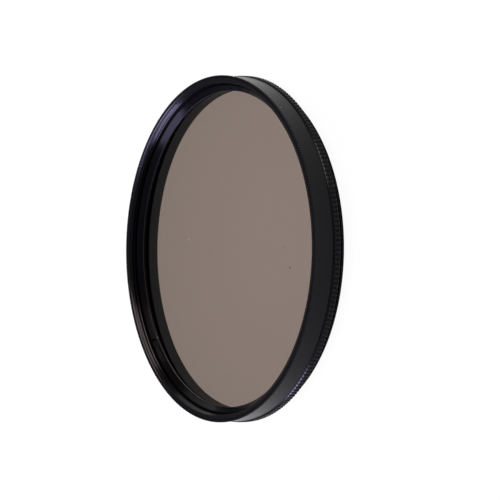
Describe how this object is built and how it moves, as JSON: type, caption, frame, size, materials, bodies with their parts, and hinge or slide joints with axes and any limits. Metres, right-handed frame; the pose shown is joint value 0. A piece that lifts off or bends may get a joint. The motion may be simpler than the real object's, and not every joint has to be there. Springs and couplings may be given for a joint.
{
  "type": "screw-in rotating polarising lens filter",
  "caption": "Round screw-in camera lens filter: knurled rear ring with a male thread, and a turning front ring that carries a laminated grey polariser under a conical retaining ring.",
  "frame": {"origin": "centre of the rear end of the male thread, on which the filter lies", "axes": "+Z along the optical axis, towards the front of the filter; X and Y are across it"},
  "size_m": [0.0802, 0.0802, 0.0093],
  "materials": {
    "black_anodised": "satin black anodised",
    "spring_steel": "drawn wire",
    "polariser_glass": "polished neutral grey",
    "film": "clear grey film"
  },
  "bodies": {
    "rear": {"rear_ring": "black_anodised", "snap_wire": "spring_steel"},
    "front": {"front_ring": "black_anodised", "retaining_ring": "black_anodised", "front_glass": "polariser_glass", "polarising_film": "film", "quarter_wave_film": "film", "rear_glass": "polariser_glass"}
  },
  "joints": [
    {"name": "front_turn", "type": "hinge", "parent": "rear", "child": "front", "pos_m": [0, 0, 0.0033], "axis": [0, 0, 1], "continuous": true}
  ]
}
